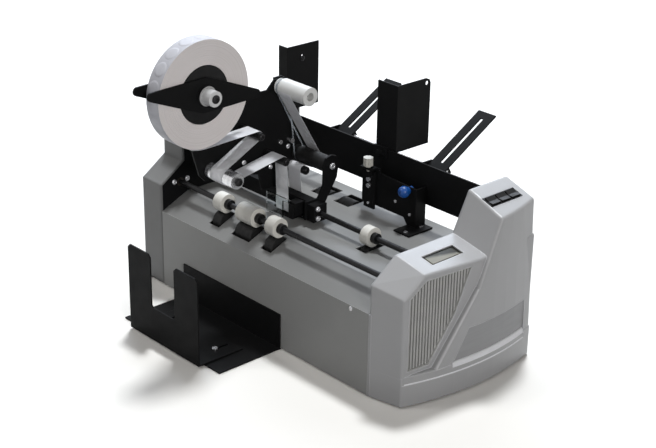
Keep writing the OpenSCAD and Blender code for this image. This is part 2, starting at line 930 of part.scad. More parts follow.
function seg_angle(i) =
    let (a = web_path[i], b = web_path[i + 1], dy = b[0][0] - a[0][0], dz = b[0][1] - a[0][1],
        k = b[2] * (b[1] + web_t / 2) - a[2] * (a[1] + web_t / 2))
    atan2(dz, dy) - asin(k / sqrt(dy * dy + dz * dz));
function nrm_in(i) = seg_angle(i - 1) - 90 * web_path[i][2];
function nrm_out(i) = seg_angle(i) - 90 * web_path[i][2];
function wrap360(a) = a - 360 * floor(a / 360);
function arc_n(i) = let (d = web_path[i][2]) i == 0 ? [nrm_out(0) - 20, nrm_out(0) - 10, nrm_out(0)] :
    i == web_n - 1 ? [nrm_in(i), nrm_in(i) - 12, nrm_in(i) - 24] :
    let (s = wrap360(d * (nrm_out(i) - nrm_in(i)))) [for (k = [0 : 10]) nrm_in(i) + d * s * k / 10];
function side_pts(left) = [for (i = [0 : web_n - 1]) let (w = web_path[i],
    r = (w[2] > 0) == left ? w[1] : w[1] + web_t)
    for (a = arc_n(i)) [w[0][0] + r * cos(a), w[0][1] + r * sin(a)]];
right_pts = side_pts(false);

// the roll is one strip wound outwards from the core to the place where the web leaves it
roll_turns = 24;
turn_steps = 36;
turn_gap = 0.45;
turn_r0 = core_d / 2 + 0.35;
turn_pitch = (roll_r + turn_gap - turn_r0) / (roll_turns + 1);
function turn_pt(k, out) =
    let (a = nrm_out(0) - (roll_turns * turn_steps - k) * 360 / turn_steps,
        r = turn_r0 + turn_pitch * k / turn_steps + (out ? turn_pitch - turn_gap : 0))
    [roll_y + r * cos(a), roll_z + r * sin(a)];
turn_in = [for (k = [0 : roll_turns * turn_steps]) turn_pt(k, false)];
turn_out = [for (k = [0 : roll_turns * turn_steps]) turn_pt(k, true)];
echo(tab_roll_least_gap = min([for (k = [0 : (roll_turns - 1) * turn_steps])
    norm(turn_in[k + turn_steps] - turn_out[k])]));

module tab_roll() {
    color(white) at_frame()
        yz(web_x0, web_x1 - 0.3)
            polygon(concat(turn_in, [for (k = [roll_turns * turn_steps : -1 : 0]) turn_out[k]]));
}

module tab_web() {
    color([0.95, 0.95, 0.94]) at_frame()
        yz(web_x0, web_x1)
            polygon(concat(side_pts(true), [for (i = [len(right_pts) - 1 : -1 : 0]) right_pts[i]]));
}
echo(web_gap_to_rollers = web_gap);

module tab_sensor() {
    color([0.1, 0.09, 0.1]) at_frame() {
        box(web_x1 + 15, web_x1 + 33, 105, beam_y0, 192, 216);
        box(web_x1 + 18, web_x1 + 30, 103, 108, 187, 212);
    }
}

module clear_shield() {
    color([0.8, 0.88, 0.9, 0.35]) at_frame() {
        box(web_x0 - 8, web_x1 + 2, 102, 105, 181, 219);
        box(web_x1 + 2 - eps, web_x1 + 22, 102, 105, 213, 219);
    }
}

// hopper
module rear_wall() {
    color(black) at_frame()
        difference() {
            box(xl, 2.6, wall_y, wall_y + wall_t, wall_bottom, wall_top);
            for (x = [gate_x - 4, gate_x + 96])
                ycyl(wall_y - 1, wall_y + wall_t + 1, x, 235, 2.05);
        }
}

gate_x = -260;
gate_y = 252;
foot_x0 = -166;
knob_z = 244;

module gate_bracket() {
    color(black) at_frame()
        difference() {
            union() {
                xz(gate_y, gate_y + 3)
                    polygon([[gate_x - 22, 190], [gate_x - 22, 262], [gate_x + 22, 262],
                        [gate_x + 22, 254],
                        [-147, 250], [-147, deck_z], [foot_x0, deck_z], [foot_x0 - 10, 190]]);
                box(-150, -147, gate_y, wall_y, deck_z, 250);
                box(foot_x0, -128, 218, wall_y, deck_z, deck_z + 3);
                box(gate_x - 12, gate_x + 12, gate_y + 2.9, wall_y, 228, 242);
                box(gate_x - 14, gate_x + 14, 238, gate_y + 1, 262 - 3, 262);
            }
            ycyl(gate_y - 1, gate_y + 4, -166, knob_z, 4 + run_fit);
            zcyl(250, 270, gate_x, 244, 2.6);
        }
}

module gate_blade() {
    color([0.09, 0.09, 0.1]) at_frame()
        difference() {
            union() {
                box(gate_x - 13, gate_x + 13, gate_y - 4.4, gate_y - 0.4, 182.5, 253);
                box(gate_x - 6, gate_x + 6, 238.5, gate_y - 4, 244, 254);
            }
            zcyl(243, 255, gate_x, 244, 2.5 + run_fit);
        }
}

module blade_screws() {
    color(steel) at_frame() {
        for (z = [226, 238])
            ycyl(gate_y - 8, gate_y - 4.4, gate_x, z, 4.4);
        ycyl(gate_y - 6.4, gate_y - 4.4, gate_x, 192, 2.6);
    }
}

module gate_knob() {
    color([0.82, 0.82, 0.8]) at_frame()
        difference() {
            union() {
                zcyl(262.4, 265, gate_x, 244, 5.5);
                zcyl(265 - eps, 280, gate_x, 244, 9);
                zcyl(245, 263, gate_x, 244, 2.5);
            }
            for (a = [0 : 45 : 315])
                zcyl(267, 281, gate_x + 10.4 * cos(a), 244 + 10.4 * sin(a), 2.4);
        }
}

module release_knob() {
    color([0.1, 0.35, 0.72]) at_frame()
        difference() {
            union() {
                translate([-166, gate_y - 11.5, knob_z])
                    sphere(r = 10.5);
                ycyl(gate_y - 6, gate_y - 0.4, -166, knob_z, 6.5);
                ycyl(gate_y - 6, gate_y + 8, -166, knob_z, 4);
                ycyl(gate_y + 3.4, gate_y + 8, -166, knob_z, 6);
            }
            box(-167.2, -164.8, gate_y - 24, gate_y - 20.6, knob_z - 7, knob_z + 7);
        }
}

guide_y = wall_y + wall_t + slide_fit;
lip_y = wall_y - slide_fit;

module saddle(x0, x1) {
    box(x0, x1, lip_y - guide_t, guide_y + 1, wall_top + slide_fit, wall_top + slide_fit + guide_t);
    box(x0, x1, lip_y - guide_t, lip_y, wall_top - 16, wall_top + slide_fit + guide_t);
}

guide_rx = -228;
guide_lx = -522;

module right_guide() {
    color(black) at_frame()
        difference() {
            union() {
                box(guide_rx - 50, guide_rx, guide_y, guide_y + guide_t, 262, guide_top);
                yz(guide_rx - guide_t, guide_rx)
                    polygon([[guide_y, 288], [guide_y, guide_top], [guide_y + 72, guide_top],
                        [guide_y + 79, guide_top - 3], [guide_y + 82, guide_top - 10], [guide_y + 82, 288]]);
                saddle(guide_rx - 50, guide_rx - 18);
                guide_screw(guide_rx - 34);
            }
            xcyl(guide_rx - 5, guide_rx + 2, guide_y + 73, guide_top - 9, 4);
        }
}

module left_guide() {
    color(black) at_frame()
        difference() {
            union() {
                box(guide_lx - 24, guide_lx, guide_y, guide_y + guide_t, 262, guide_top);
                yz(guide_lx - guide_t, guide_lx)
                    polygon([[guide_y, 288], [guide_y, guide_top],
                        [guide_y + 80, guide_top], [guide_y + 80, 288]]);
                saddle(guide_lx - 24, guide_lx + 8);
                guide_screw(guide_lx - 8);
            }
            xcyl(guide_lx - 5, guide_lx + 2, guide_y + 38, guide_top - 22, 2.4);
            box(guide_lx - 5, guide_lx + 2, guide_y + 36, guide_y + 40, guide_top - 32, guide_top - 22);
        }
}

module guide_screw(x) {
    union() {
        ycyl(lip_y - guide_t - 7, lip_y - guide_t, x, wall_top - 8, 5.5);
        ycyl(lip_y - guide_t - eps, lip_y, x, wall_top - 8, 2);
    }
}

ramp_xs = [-464, -220];

module ramp_brackets() {
    color(black) at_frame()
        for (x = ramp_xs)
            difference() {
                yz(x - 3.6, x - 0.6)
                    polygon([[wall_y + wall_t, 226], [wall_y + wall_t, 256], [ramp_y + 4, 256],
                        [ramp_y + 12, 250], [ramp_y + 12, 236], [ramp_y + 4, 232]]);
                xcyl(x - 6, x + 2, ramp_y, ramp_z, 4 + run_fit);
            }
}

module ramp_rod() {
    color(steel) at_frame() {
        xcyl(ramp_xs[0] - 9, ramp_xs[1] + ramp_w - 2, ramp_y, ramp_z, 4);
        for (x = ramp_xs)
            xcyl(x - 9, x - 4, ramp_y, ramp_z, 6.5);
    }
}

module ramp_arms() {
    color(black) at_frame()
        for (x = ramp_xs)
            translate([x, ramp_y, ramp_z])
                rotate([ramp_tilt, 0, 0])
                    difference() {
                        union() {
                            box(0, ramp_w, -14, ramp_len - 14, 5, 8);
                            for (u = [0, ramp_w - 9])
                                box(u, u + 9, -7, 7, -7, 5 + eps);
                        }
                        xcyl(-1, ramp_w + 1, 0, 0, 4);
                        box(ramp_w / 2 - 3.5, ramp_w / 2 + 3.5, 10, ramp_len - 30, 4, 9);
                    }
}

// catch tray
module catch_tray() {
    color(black) at_frame()
        difference() {
            union() {
                box(-483, -214, -tray_front_y + 12, 0, 0, tray_t);
                box(-483, -214, -tray_t, 0, 0, tray_back_z);
            }
            for (x = [-420, -280])
                zcyl(-1, tray_t + 1, x, -92, 2.05);
        }
}

module tray_stop() {
    color(black) at_frame()
        difference() {
            union() {
                xz(-tray_front_y - tray_t, -tray_front_y)
                    polygon([[-445, 3.2], [-445, tray_post_z - 6], [-439, tray_post_z],
                        [-387, tray_post_z],
                        [-381, tray_post_z - 6], [-381, 70], [-377, 66], [-319, 66], [-315, 70],
                        [-315, tray_post_z - 6], [-309, tray_post_z], [-257, tray_post_z],
                        [-251, tray_post_z - 6], [-251, 3.2]]);
                box(-445, -251, -tray_front_y - eps, -54, tray_t + slide_fit, 2 * tray_t + slide_fit);
            }
            for (x = [-420, -280]) {
                box(x - 2.6, x + 2.6, -94, -66, 0, 10);
                zcyl(0, 10, x, -94, 2.6);
                zcyl(0, 10, x, -66, 2.6);
            }
        }
}

module belt_idler() {
    u = [cos(belt_a), sin(belt_a)];
    v = belt_l * 0.76;
    n = [-sin(belt_a), cos(belt_a)] * ((v - belt_l / 2) * tan(cross_a) + (cord_r + 3) / cos(cross_a));
    c = [spool[0] + u[0] * v - n[0], spool[1] + u[1] * v - n[1]];
    xcyl(head_x, cord_x + 3, c[0], c[1], 3);
    xcyl(cord_x + 3 - eps, cord_x + 5, c[0], c[1], 4.4);
}

// round-headed screws that hold the fixed sheets and brackets
module machine_screws() {
    color(steel) at_frame() {
        ycyl(-1.6, 0, -41, 145, 4);
        ycyl(-eps, sheet + 5, -41, 145, 2);
        for (y = [exit_y - 15, exit_y + 15]) {
            xcyl(xl - plate_t - 4, xl + eps, y, pinch_z + 3, 2);
            xcyl(xl, xl + 2.2, y, pinch_z + 3, 5);
            xcyl(xl + 2, xl + 3.4, y, pinch_z + 3, 3.9);
        }
        for (p = [[132, 208], [132.5, 190]]) {
            xcyl(block_x, block_x + 2, p[0], p[1], 5);
            xcyl(block_x + 2 - eps, block_x + 3.4, p[0], p[1], 3.8);
        }
        for (p = [[78, 270], [124, 270], [140, 300]])
            xcyl(head_x, head_x + 4, p[0], p[1], 4);
        for (p = [[-142, 224], [-142, 262]])
            zcyl(deck_z + 3, deck_z + 5.5, p[0], p[1], 3.6);
        for (p = [[-196, 214], [-160, 200]])
            ycyl(gate_y - 2, gate_y, p[0], p[1], 2.8);
        xcyl(end_x + 4.4, end_x + 7, wdrive[0], wdrive[1], 6);
        for (x = [-420, -280]) {
            zcyl(0, 2 * tray_t + 2 * slide_fit, x, -92, 2);
            zcyl(2 * tray_t + 2 * slide_fit, 2 * tray_t + 2 * slide_fit + 2.5, x, -92, 5);
        }
        belt_idler();
        xcyl(pulley_x0, xl - plate_t, 200, drive_z + pulley_r + belt_gap + 8, 6);
    }
}

base_pan();
rubber_feet();
front_panel();
deck();
rear_panel();
left_housing();
left_plate();
right_plate();
shaft_bushings();
right_cap();
vent_grille();
name_plate();
display_window();
switch_panel();
rocker_front();
rocker_middle();
rocker_back();
exit_shaft();
exit_rollers_white();
infeed_shaft();
infeed_roller();
exit_drive_roller();
infeed_drive_roller();
feed_drive_roller();
feed_motor();
motor_pulley();
feed_belt();
power_board();
cross_beam();
peel_bar();
head_plate();
end_plate();
guide_posts();
dancer_roller();
web_drive_roller();
take_up_spool();
take_up_belt();
take_up_arm();
head_pins();
roll_core();
roll_arms();
roll_knob();
tab_roll();
tab_web();
tab_sensor();
clear_shield();
rear_wall();
gate_bracket();
gate_blade();
blade_screws();
gate_knob();
release_knob();
right_guide();
left_guide();
ramp_brackets();
ramp_rod();
ramp_arms();
catch_tray();
tray_stop();
machine_screws();
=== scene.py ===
import json
import math
import random
import bpy
import bmesh
from mathutils import Matrix, Vector


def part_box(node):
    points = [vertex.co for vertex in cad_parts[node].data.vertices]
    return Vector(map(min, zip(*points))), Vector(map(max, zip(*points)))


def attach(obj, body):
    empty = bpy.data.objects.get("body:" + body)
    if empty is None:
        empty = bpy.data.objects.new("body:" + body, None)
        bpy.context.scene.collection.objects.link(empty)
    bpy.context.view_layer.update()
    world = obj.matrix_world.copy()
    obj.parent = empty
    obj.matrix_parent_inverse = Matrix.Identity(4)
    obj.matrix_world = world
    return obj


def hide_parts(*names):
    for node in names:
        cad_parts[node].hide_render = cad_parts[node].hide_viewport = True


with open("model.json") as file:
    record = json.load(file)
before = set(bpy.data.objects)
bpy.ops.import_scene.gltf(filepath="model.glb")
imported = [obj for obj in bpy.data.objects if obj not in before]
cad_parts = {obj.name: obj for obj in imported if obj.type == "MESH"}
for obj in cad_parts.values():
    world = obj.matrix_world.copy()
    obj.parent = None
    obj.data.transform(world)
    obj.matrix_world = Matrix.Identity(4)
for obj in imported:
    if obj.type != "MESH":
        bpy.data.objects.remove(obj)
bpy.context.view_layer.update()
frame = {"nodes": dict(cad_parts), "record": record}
nodes = frame["nodes"]
scene = bpy.context.scene
scene.view_settings.view_transform = "Standard"

# Places and sizes of pieces are in millimetres in a measuring frame: X from the seam of the control end, Y from the
# front panel, Z from the table. MX and MY are the shared frame's origin in it. Materials and lights are in metres.
MX, MY = -255.0, 153.606
MM_PER_M = 1000
# a quarter and a whole turn, in radians
QUARTER, TURN = math.pi / 2, 2 * math.pi

# the head, as in the part's source: (y, z) of the axles and posts that the web passes, and their radii
ROLL, POST_1, DANCER, POST_2 = (-65.0, 445.0), (51, 346), (-17, 287), (107, 286)
PEEL_IN, PEEL_OUT, POST_3, DRIVE, SPOOL = (122, 186.5), (150, 186.5), (154, 258), (180, 272), (139, 405)
ROLL_R, CORE_R, DANCER_R, DRIVE_R, SPOOL_R = 94.0, 49.5, 14, 15, 16.5
POST_R, PEEL_R = 7.65, 2
WEB_X, WEB_W, WEB_T, GAP = -347.0, 33.0, 0.6, 0.4
WEB_RIGHT = WEB_X + WEB_W / 2


def pos(x, y, z):
    """A point of the measuring frame, in metres in the shared frame."""
    return Vector(((x - MX) / MM_PER_M, (y - MY) / MM_PER_M, z / MM_PER_M))


# camera at the photograph's viewing angle; its focal length is in pixels of a picture IMAGE_W wide
IMAGE_W, FOCAL_PX, SENSOR_W = 656, 1499, 36.0
CAM_AT = pos(1512.734188, -1494.094594, 1237.302154)
CAM_RIGHT = Vector((0.6747436588, 0.7378892863, 0.0155047075))
CAM_UP = Vector((-0.3058928969, 0.2604740157, 0.9157416791))
CAM_FORWARD = Vector((-0.6716774006, 0.6226336710, -0.4014682818))
cam_data = bpy.data.cameras.new("camera")
cam_data.sensor_width = SENSOR_W
cam_data.lens = FOCAL_PX / IMAGE_W * SENSOR_W
cam = bpy.data.objects.new("camera", cam_data)
cam_axes = Matrix((CAM_RIGHT, CAM_UP, -CAM_FORWARD)).transposed()
cam.matrix_world = Matrix.Translation(CAM_AT) @ cam_axes.to_4x4()
scene.collection.objects.link(cam)
scene.camera = cam

# finished materials, by name
M = {}


def srgb(color):
    """A colour as it shows on screen, in the linear values that shaders take."""
    return tuple(c / 12.92 if c <= 0.04045 else ((c + 0.055) / 1.055) ** 2.4 for c in color)


def feed(tree, node, inputs):
    """Gives each named input of a node a value, or a link where the value is another node's output."""
    for key, value in inputs.items():
        if isinstance(value, bpy.types.NodeSocket):
            tree.links.new(value, node.inputs[key])
        else:
            node.inputs[key].default_value = value


def add_node(tree, kind, inputs, **settings):
    """A new node with its settings made first, since they decide which inputs it has."""
    node = tree.nodes.new(kind)
    for key, value in settings.items():
        setattr(node, key, value)
    feed(tree, node, inputs)
    return node


def turned(k):
    """Draws a pattern out, 1 / k times, into streaks round an axis along X."""
    return (1, k, k)


def along_x(k):
    """Draws a pattern out, 1 / k times, along X."""
    return (k, 1, 1)


def along_y(k):
    """Draws a pattern out, 1 / k times, along Y."""
    return (1, k, 1)


class Mat:
    """A procedural material in object coordinates, built up by chained calls and put into M by done().

    The details are those of each call's noise. The bands are the noise values between which a call fades in.
    """
    VARY_DETAIL, GLOSS_DETAIL, WEAR_DETAIL, GRAIN_DETAIL = 4.0, 5.0, 3.0, 2.0
    GLOSS_BAND, WEAR_BAND, RING_BAND = (0.3, 0.7), (0.38, 0.62), (0.48, 0.68)
    RING_DETAIL, RING_ROUGH = 4.0, 0.7

    def __init__(self, name, color, rough, metal=0.0, spec=0.5):
        self.name, self.rough = name, rough
        self.material = bpy.data.materials.new(name)
        self.material.use_nodes = True
        self.tree = self.material.node_tree
        self.shader = self.tree.nodes["Principled BSDF"]
        self.color = (*srgb(color), 1)
        self.normal = None
        self.set(**{"Base Color": self.color, "Roughness": rough, "Metallic": metal, "Specular IOR Level": spec})
        self.co = self.add("ShaderNodeTexCoord", {}).outputs["Object"]

    def set(self, **inputs):
        """Values or links for the shader's own inputs."""
        feed(self.tree, self.shader, inputs)
        return self

    def add(self, kind, inputs, **settings):
        return add_node(self.tree, kind, inputs, **settings)

    def vector(self, operation, **inputs):
        """A vector operation on one or two inputs, a and b."""
        return self.add("ShaderNodeVectorMath", dict(enumerate(inputs.values())), operation=operation)

    def noise(self, scale, detail, stretch=None):
        at = self.co
        if stretch:
            at = self.add("ShaderNodeMapping", {"Vector": at, "Scale": stretch}).outputs["Vector"]
        return self.add("ShaderNodeTexNoise", {"Vector": at, "Scale": scale, "Detail": detail}).outputs["Fac"]

    def remap(self, value, start, end, low, high):
        """value, carried from the range start to end into the range low to high."""
        ranges = {"From Min": start, "From Max": end, "To Min": low, "To Max": high}
        return self.add("ShaderNodeMapRange", {"Value": value, **ranges}).outputs["Result"]

    def mix(self, factor, color):
        """Lays a colour over what is there."""
        layers = {"Factor": factor, "A": self.color, "B": (*srgb(color), 1)}
        self.color = self.add("ShaderNodeMix", layers, data_type="RGBA").outputs["Result"]
        return self.set(**{"Base Color": self.color})

    def vary(self, color, scale, amount=0.5, lo=0.4, hi=0.8, stretch=None):
        """A second tone in soft patches, from none where the noise is lo to amount where it is hi."""
        return self.mix(self.remap(self.noise(scale, self.VARY_DETAIL, stretch), lo, hi, 0, amount), color)

    def gloss(self, scale, spread, stretch=None):
        """Roughness that wanders by spread to either side."""
        noise = self.noise(scale, self.GLOSS_DETAIL, stretch)
        return self.set(Roughness=self.remap(noise, *self.GLOSS_BAND, self.rough - spread, self.rough + spread))

    def bevel(self, radius, samples=6):
        """Edges shaded as if rounded to a radius in metres."""
        rounded = self.add("ShaderNodeBevel", {"Radius": radius}, samples=samples)
        self.normal = rounded.outputs["Normal"]
        return self.set(Normal=self.normal)

    def edge_wear_and_highlight(self, color, lo, hi, amount, scale=260.0, even=0.15):
        """An edge tone where the bevel bends the normal, from lo to hi, in patches that keep a share even throughout:
        wear on most materials, a painted highlight on body_grey and partly one on dark_steel.
        """
        face = self.add("ShaderNodeNewGeometry", {}).outputs["Normal"]
        bend = self.vector("DOT_PRODUCT", a=self.normal, b=face).outputs["Value"]
        edge = self.remap(bend, 1 - lo, 1 - hi, 0, amount)
        patches = self.remap(self.noise(scale, self.WEAR_DETAIL), *self.WEAR_BAND, even, 1)
        return self.mix(self.add("ShaderNodeMath", {0: edge, 1: patches}, operation="MULTIPLY").outputs[0], color)

    def grain(self, scale, strength, distance, stretch=None):
        """A fine bump over the bevelled normal."""
        bump = {"Strength": strength, "Distance": distance, "Height": self.noise(scale, self.GRAIN_DETAIL, stretch)}
        if self.normal is not None:
            bump["Normal"] = self.normal
        self.normal = self.add("ShaderNodeBump", bump).outputs["Normal"]
        return self.set(Normal=self.normal)

    def beyond(self, direction, start, end, color):
        """Another colour on one side of a plane: it comes in from start to end along a direction."""
        place = self.vector("DOT_PRODUCT", a=self.co, b=direction).outputs["Value"]
        return self.mix(self.remap(place, start, end, 0, 1), color)

    def rings(self, centre, scale, color, amount):
        """Faint rings round an axis along X, as the edges of wound turns show."""
        out = self.vector("SUBTRACT", a=self.co, b=(0, centre.y, centre.z)).outputs["Vector"]
        flat = self.vector("MULTIPLY", a=out, b=(0, 1, 1)).outputs["Vector"]
        radius = self.vector("LENGTH", a=flat).outputs["Value"]
        turns = {"W": radius, "Scale": scale, "Detail": self.RING_DETAIL, "Roughness": self.RING_ROUGH}
        noise = self.add("ShaderNodeTexNoise", turns, noise_dimensions="1D").outputs["Fac"]
        return self.mix(self.remap(noise, *self.RING_BAND, 0, amount), color)

    def done(self, **inputs):
        """Sets what else the shader needs and keeps the material under its name."""
        self.set(**inputs)
        M[self.name] = self.material


# moulded grey shells: fine moulded texture and slight handling marks; body_grey's paler edges are a painted highlight
(Mat("body_grey", (0.675, 0.675, 0.68), 0.38).bevel(0.0022, samples=10)
 .edge_wear_and_highlight((0.95, 0.95, 0.97), lo=0.008, hi=0.12, amount=0.65, scale=40, even=0.9)
 .vary((0.65, 0.65, 0.652), 9, amount=0.35).gloss(30, 0.04).grain(1500, 0.03, 0.0003)
 .done(**{"Coat Weight": 0.12, "Coat Roughness": 0.28}))
# the band bead's grey: a brighter copy of the shell grey, a painted highlight
(Mat("highlight_edge_grey", (0.96, 0.96, 0.97), 0.25).vary((0.91, 0.91, 0.92), 40)
 .gloss(60, 0.05).grain(1500, 0.06, 0.0002).done())
# the sill lip's grey: a brighter copy of the shell grey, a painted highlight
(Mat("highlight_lip_grey", (0.94, 0.94, 0.95), 0.37).vary((0.90, 0.90, 0.91), 20)
 .gloss(40, 0.04).grain(1500, 0.06, 0.0002).done())
(Mat("grille_grey", (0.74, 0.74, 0.73), 0.46, spec=0.35).bevel(0.0009)
 .edge_wear_and_highlight((0.82, 0.82, 0.82), lo=0.03, hi=0.25, amount=0.4).vary((0.62, 0.62, 0.61), 25, amount=0.4, hi=0.75)
 .gloss(60, 0.05).grain(1500, 0.10, 0.0003).done())
# the name plate: brushed along its length
(Mat("plate_silver", (0.62, 0.62, 0.625), 0.43, spec=0.4).bevel(0.0006)
 .vary((0.58, 0.58, 0.585), 160, lo=0.35, hi=0.7, stretch=along_y(0.05))
 .gloss(300, 0.08, along_y(0.04)).grain(700, 0.06, 0.0002, along_y(0.06)).done())


# painted grey metal: thin worn edges and a slow change of tone
def painted(name, color, edge, amount, tone, scale):
    """Paint with its edge worn by amount and its tone changing at a scale, before enamel()."""
    return (Mat(name, color, 0.46, spec=0.25).bevel(0.0007)
            .edge_wear_and_highlight(edge, lo=0.02, hi=0.2, amount=amount, scale=60, even=0.7).vary(tone, scale, amount=0.4))


def enamel(mat):
    """The sheen and fine grain that painted metal ends with."""
    mat.gloss(60, 0.06).grain(900, 0.08, 0.0003).done()


PANEL = ((0.635, 0.635, 0.628), (0.72, 0.72, 0.72), 0.3, (0.60, 0.60, 0.595), 12)
HOUSING = ((0.51, 0.51, 0.507), (0.66, 0.66, 0.66), 0.35, (0.475, 0.475, 0.47), 14)
enamel(painted("panel_grey", *PANEL))
# the front panel's sloping top, which starts within these heights, is painted darker than its upright face: painted
# shade
SLOPE_FROM, SLOPE_TO, SLOPE_SHADE = 0.1496, 0.1506, (0.515, 0.515, 0.51)
enamel(painted("front_grey_shaded_top", *PANEL).beyond((0, 0, 1), SLOPE_FROM, SLOPE_TO, SLOPE_SHADE))
# a second, wide bevel shades the left housing's bends as rounded
BEND_R = 0.009
enamel(painted("housing_grey", *HOUSING).bevel(BEND_R, samples=10))
# the deck: the panels' paint set darker, painted shade for the shadow that the head and hopper cast on it
(Mat("deck_grey", (0.555, 0.555, 0.55), 0.46, spec=0.25).bevel(0.0007)
 .edge_wear_and_highlight((0.70, 0.70, 0.70), lo=0.02, hi=0.2, amount=0.35).vary((0.565, 0.565, 0.558), 16, amount=0.4)
 .vary((0.51, 0.505, 0.49), 40, amount=0.3, lo=0.55, stretch=along_x(0.12))
 .gloss(60, 0.07, along_x(0.1)).grain(900, 0.08, 0.0003).done())
(Mat("base_metal", (0.46, 0.465, 0.47), 0.5).bevel(0.0006)
 .edge_wear_and_highlight((0.7, 0.7, 0.7), lo=0.03, hi=0.2, amount=0.6).vary((0.38, 0.38, 0.38), 18, hi=0.75)
 .gloss(60, 0.08).grain(1200, 0.12, 0.0003).done())

# black sheet metal: satin powder coat with a fine orange peel and edges worn to dull metal
(Mat("black_metal", (0.085, 0.086, 0.088), 0.48, spec=0.05).bevel(0.0007)
 .edge_wear_and_highlight((0.30, 0.30, 0.31), lo=0.06, hi=0.3, amount=0.3).vary((0.09, 0.09, 0.093), 22, amount=0.6)
 .vary((0.12, 0.118, 0.115), 120, amount=0.4, lo=0.66, hi=0.85).gloss(45, 0.07).grain(1100, 0.12, 0.0003).done())

# plastics and rubbers: a fine moulded or turned grain and a little dirt
(Mat("black_plastic", (0.07, 0.07, 0.073), 0.40, spec=0.15).bevel(0.0008)
 .edge_wear_and_highlight((0.28, 0.28, 0.28), lo=0.03, hi=0.25, amount=0.5).vary((0.14, 0.14, 0.14), 60, lo=0.45)
 .gloss(90, 0.07).grain(2200, 0.15, 0.0003).done())
(Mat("blue_plastic", (0.06, 0.31, 0.60), 0.37).bevel(0.0016)
 .edge_wear_and_highlight((0.45, 0.62, 0.85), lo=0.03, hi=0.3, amount=0.35).vary((0.06, 0.26, 0.58), 70, amount=0.6)
 .gloss(90, 0.06).grain(1200, 0.08, 0.0003).done())
(Mat("white_plastic", (0.91, 0.91, 0.90), 0.40).bevel(0.0012).vary((0.84, 0.84, 0.83), 60)
 .gloss(80, 0.07).grain(900, 0.06, 0.0003, turned(0.2)).done())
(Mat("thumb_grey", (0.80, 0.79, 0.76), 0.42).bevel(0.0008).vary((0.66, 0.65, 0.62), 160, lo=0.45)
 .gloss(120, 0.08).grain(1200, 0.15, 0.0003).done())
(Mat("foot_rubber", (0.12, 0.12, 0.12), 0.75, spec=0.25).bevel(0.0012).vary((0.2, 0.2, 0.19), 70, lo=0.5)
 .gloss(90, 0.06).grain(1800, 0.3, 0.0004).done())
(Mat("drive_rubber", (0.10, 0.10, 0.10), 0.62, spec=0.2).bevel(0.0006)
 .vary((0.15, 0.147, 0.145), 220, amount=0.6, hi=0.75, stretch=turned(0.2))
 .gloss(150, 0.1).grain(1300, 0.25, 0.0004, turned(0.3)).done())
(Mat("white_rubber", (0.90, 0.89, 0.86), 0.55, spec=0.35).bevel(0.0012)
 .vary((0.80, 0.78, 0.74), 240, amount=0.45, lo=0.45, stretch=turned(0.15))
 .vary((0.70, 0.67, 0.62), 90, amount=0.3, lo=0.6, hi=0.85)
 .gloss(120, 0.08).grain(1100, 0.18, 0.0003, turned(0.2)).done())
(Mat("clear_belt", (0.86, 0.88, 0.90), 0.18).vary((0.76, 0.79, 0.82), 200)
 .gloss(160, 0.05).grain(500, 0.05, 0.0002).done(**{"Transmission Weight": 0.75, "IOR": 1.35}))
(Mat("clear_plastic", (0.96, 0.98, 0.98), 0.05).vary((0.88, 0.92, 0.92), 60, lo=0.5, hi=0.9)
 .gloss(30, 0.03).done(**{"Transmission Weight": 1.0, "IOR": 1.45}))
# the power board: paler tracks with hard edges
(Mat("board_green", (0.10, 0.34, 0.20), 0.45).bevel(0.0004)
 .vary((0.16, 0.44, 0.26), 220, amount=0.7, lo=0.52, hi=0.56).gloss(100, 0.08).grain(600, 0.1, 0.0003).done())

# bare metals, the steels streaked from turning
# dark steel: its paler edges are partly wear and partly a painted highlight for the glints on screw heads
(Mat("dark_steel", (0.13, 0.13, 0.135), 0.34, metal=0.5, spec=0.25).bevel(0.0005)
 .edge_wear_and_highlight((0.45, 0.45, 0.46), lo=0.05, hi=0.3, amount=0.5)
 .vary((0.22, 0.215, 0.21), 300, amount=0.4, lo=0.45, hi=0.75, stretch=turned(0.15))
 .gloss(500, 0.10, turned(0.1)).grain(1600, 0.10, 0.0002, turned(0.08)).done())
(Mat("bright_steel", (0.90, 0.90, 0.91), 0.24, metal=0.8).bevel(0.0004)
 .vary((0.70, 0.70, 0.71), 300, hi=0.7, stretch=turned(0.12))
 .gloss(400, 0.08, turned(0.1)).grain(1500, 0.05, 0.0002, turned(0.05)).done())
(Mat("motor_steel", (0.66, 0.66, 0.68), 0.36, metal=0.9).bevel(0.0006)
 .vary((0.50, 0.50, 0.51), 120, hi=0.7, stretch=turned(0.1)).gloss(200, 0.08).grain(900, 0.1, 0.0002).done())
(Mat("bush_bronze", (0.20, 0.18, 0.155), 0.42, metal=0.6).bevel(0.0004)
 .vary((0.14, 0.125, 0.105), 180, amount=0.6, hi=0.7).gloss(300, 0.1).grain(1500, 0.1, 0.0002).done())


# coated paper: the roll's side shows fine turns, and the tabs are a little whiter than their liner
def liner(name, color, spec, tone, fleck):
    """The backing strip, with a slow change of tone and small flecks."""
    (Mat(name, color, 0.5, spec=spec).vary(tone, 60, hi=0.75).vary(fleck, 300, amount=0.3, lo=0.6, hi=0.85)
     .gloss(60, 0.06).grain(1400, 0.1, 0.0002).done())


def tab_stock(name, color, spec, tone):
    """The tabs' own paper."""
    Mat(name, color, 0.46, spec=spec).vary(tone, 80, hi=0.75).gloss(90, 0.06).grain(1600, 0.1, 0.0002).done()


